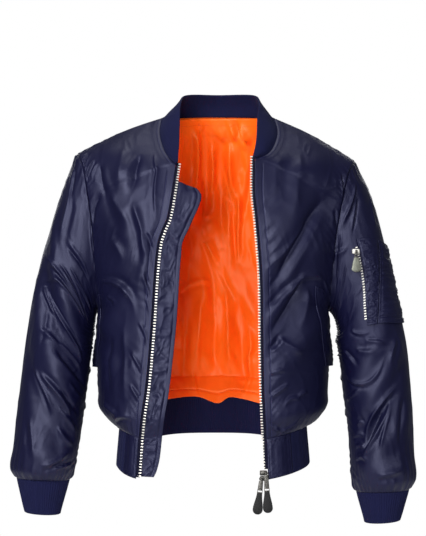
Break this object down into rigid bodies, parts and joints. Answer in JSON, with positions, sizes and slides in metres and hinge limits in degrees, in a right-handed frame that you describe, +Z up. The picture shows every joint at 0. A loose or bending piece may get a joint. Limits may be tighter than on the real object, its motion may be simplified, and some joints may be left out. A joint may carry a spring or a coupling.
{
  "type": "bomber jacket",
  "caption": "Short zip-fronted bomber jacket, filled out and hanging open, with ribbed collar, cuffs and hem, bright lining and a zipped pocket on the left sleeve.",
  "frame": {"origin": "between the shoulders at the base of the neck, where the wearer carries the jacket", "axes": "+Z up, -Y out of the open front, +X towards the wearer's left sleeve"},
  "size_m": [0.7205, 0.2905, 0.7719],
  "materials": {
    "nylon": "dark navy satin nylon with a soft sheen",
    "lining": "bright orange nylon lining",
    "rib": "dark navy rib knit, matt",
    "zip_tape": "woven zip tape",
    "zip_metal": "silver zip metal",
    "pull_metal": "dark nickel",
    "pull_grip": "dark grey grip",
    "sleeve_grip": "aged grey metal"
  },
  "bodies": {
    "jacket": {"front_right": "nylon", "front_left": "nylon", "back": "nylon", "sleeve_right": "nylon", "cuff_right": "rib", "sleeve_left": "nylon", "cuff_left": "rib", "hem_end_right": "nylon", "hem_end_left": "nylon", "hem_rib": "rib", "collar": "rib", "back_lining": "lining", "zip_tape_right": "zip_tape", "zip_teeth_right": "zip_metal", "zip_tape_left": "zip_tape", "zip_teeth_left": "zip_metal", "storm_flap": "nylon", "pocket_flap_right": "nylon", "pocket_flap_left": "nylon", "sleeve_pocket": "nylon", "pen_pocket": "nylon", "sleeve_zip": "zip_metal", "slider_upper": "zip_metal", "slider_lower": "zip_metal", "sleeve_slider": "zip_metal"},
    "upper_pull": {"pull_link_upper": "pull_metal", "pull_tab_upper": "pull_grip"},
    "lower_pull": {"pull_link_lower": "pull_metal", "pull_tab_lower": "pull_grip"},
    "sleeve_pull": {"sleeve_pull_link": "pull_metal", "sleeve_pull_tab": "sleeve_grip"}
  },
  "joints": [
    {"name": "upper_pull_hinge", "type": "hinge", "parent": "jacket", "child": "upper_pull", "pos_m": [0.08614, -0.13176, -0.62948], "axis": [-0.9986, 0, -0.0523], "range_deg": [0, 100]},
    {"name": "lower_pull_hinge", "type": "hinge", "parent": "jacket", "child": "lower_pull", "pos_m": [0.07815, -0.13225, -0.63893], "axis": [-0.9925, 0, 0.1219], "range_deg": [0, 100]},
    {"name": "sleeve_pull_hinge", "type": "hinge", "parent": "jacket", "child": "sleeve_pull", "pos_m": [0.24598, -0.08249, -0.24578], "axis": [-0.999, -0.0458, 0], "range_deg": [0, 150]}
  ]
}
